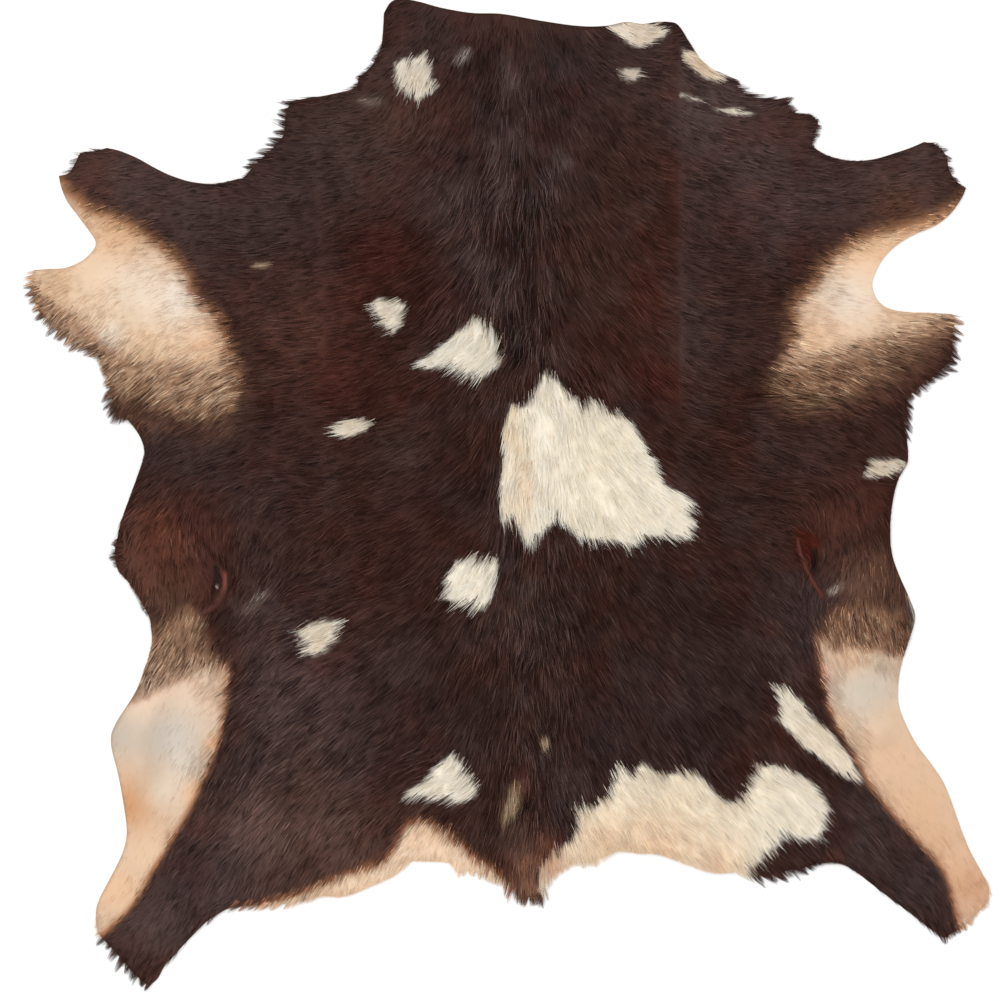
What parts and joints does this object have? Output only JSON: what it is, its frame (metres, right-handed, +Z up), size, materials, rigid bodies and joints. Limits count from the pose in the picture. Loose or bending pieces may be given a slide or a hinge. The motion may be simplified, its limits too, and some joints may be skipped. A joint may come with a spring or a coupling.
{
  "type": "goatskin rug",
  "caption": "Flat hair-on goat hide floor rug with short leg flaps, tail stub, raised flank puckers and ragged hair locks at its cut edge.",
  "frame": {"origin": "on the floor, at the middle of the hide's box", "axes": "+Z up from the floor through the hair side, +Y along the back towards the neck, +X to the right as seen from above"},
  "size_m": [0.8718, 0.8952, 0.0242],
  "materials": {
    "goatskin": "dark brown goat hair with cream spots, soft sheen, on pale tanned skin"
  },
  "bodies": {
    "root": {"goatskin": "goatskin"}
  },
  "joints": []
}
